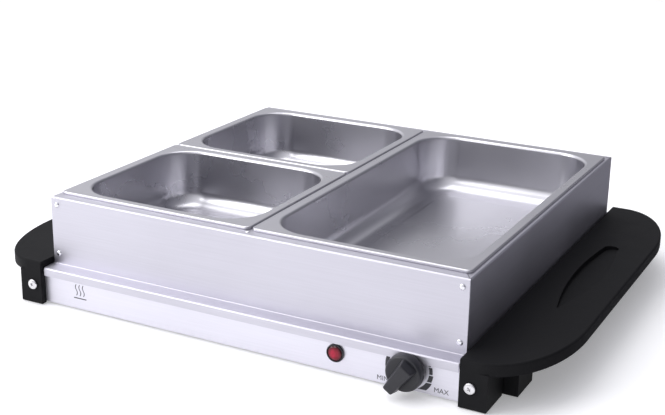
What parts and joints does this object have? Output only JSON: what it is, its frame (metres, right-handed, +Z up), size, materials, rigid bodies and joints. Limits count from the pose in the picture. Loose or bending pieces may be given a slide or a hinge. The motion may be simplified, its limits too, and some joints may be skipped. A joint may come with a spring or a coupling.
{
  "type": "electric buffet server",
  "caption": "Electric buffet server: warming tray with side handles, dial and pilot lamp, a steel frame on it, and lift-out food pans of two sizes.",
  "frame": {"origin": "on the floor under the middle of the whole part's bounding box, on the plane of the four rubber feet; the tray's own middle lies 7.4 mm further back because the dial stands out at the front", "axes": "+X to the right along the length between the handles, +Y from the control panel to the rear wall, +Z up out of the hot plate"},
  "size_m": [0.59, 0.476, 0.1105],
  "materials": {
    "brushed_cover_steel": "fine brushed, satin",
    "frame_steel": "satin rolled sheet",
    "pan_steel": "drawn and polished",
    "rivet_steel": "bright",
    "screw_steel": "plated",
    "base_sheet_steel": "galvanised",
    "heater_aluminium": "mill",
    "element_sheath": "heat-darkened",
    "fuse_metal": "satin",
    "terminal_brass": "satin",
    "handle_plastic": "fine-grained black moulding",
    "knob_plastic": "smooth black moulding",
    "foot_rubber": "matt",
    "mineral_board": "pressed mineral fibre",
    "thermostat_ceramic": "unglazed ceramic",
    "lamp_red": "clear red, faceted",
    "bulb_glass": "clear",
    "lead_sleeve_brown": "woven glass sleeve",
    "lead_sleeve_blue": "woven glass sleeve"
  },
  "bodies": {
    "tray": {"top_cover": "brushed_cover_steel", "bottom_cover": "base_sheet_steel", "cover_brackets": "base_sheet_steel", "cover_screws": "screw_steel", "right_handle": "handle_plastic", "left_handle": "handle_plastic", "rubber_feet": "foot_rubber", "handle_screws": "screw_steel", "handle_nuts": "screw_steel", "heat_spreader": "heater_aluminium", "heating_element": "element_sheath", "element_terminals": "screw_steel", "element_clamps": "base_sheet_steel", "clamp_screws": "screw_steel", "heater_studs": "screw_steel", "reflector_plate": "heater_aluminium", "insulation_board": "mineral_board", "heater_nuts": "screw_steel", "thermal_fuse": "fuse_metal", "fuse_clip": "base_sheet_steel", "thermostat_body": "thermostat_ceramic", "thermostat_nut": "terminal_brass", "thermostat_tabs": "terminal_brass", "lamp_bezel": "knob_plastic", "lamp_lens": "lamp_red", "lamp_bulb": "bulb_glass", "lamp_clip": "base_sheet_steel", "cord_gland": "handle_plastic", "gland_nut": "handle_plastic", "terminal_block": "thermostat_ceramic", "terminal_screws": "terminal_brass", "earth_screw": "terminal_brass", "live_lead": "lead_sleeve_brown", "switched_lead": "lead_sleeve_brown", "neutral_lead": "lead_sleeve_blue", "lamp_leads": "lead_sleeve_blue"},
    "dial": {"control_knob": "knob_plastic", "thermostat_spindle": "terminal_brass"},
    "frame": {"frame_front": "frame_steel", "frame_rear": "frame_steel", "frame_left": "frame_steel", "frame_right": "frame_steel", "centre_rail": "frame_steel", "cross_rail": "frame_steel", "corner_rivets": "rivet_steel", "rail_rivets": "rivet_steel"},
    "large_pan_body": {"large_pan": "pan_steel"},
    "front_pan_body": {"front_small_pan": "pan_steel"},
    "rear_pan_body": {"rear_small_pan": "pan_steel"}
  },
  "joints": [
    {"name": "dial_turn", "type": "hinge", "parent": "tray", "child": "dial", "pos_m": [0.172, -0.2186, 0.0222], "axis": [0, -1, 0], "range_deg": [-280, 0]},
    {"name": "frame_lift", "type": "slide", "parent": "tray", "child": "frame", "axis": [0, 0, 1], "range_m": [0, 0.055]},
    {"name": "large_pan_lift", "type": "slide", "parent": "frame", "child": "large_pan_body", "axis": [0, 0, 1], "range_m": [0, 0.076]},
    {"name": "front_pan_lift", "type": "slide", "parent": "frame", "child": "front_pan_body", "axis": [0, 0, 1], "range_m": [0, 0.076]},
    {"name": "rear_pan_lift", "type": "slide", "parent": "frame", "child": "rear_pan_body", "axis": [0, 0, 1], "range_m": [0, 0.076]}
  ]
}
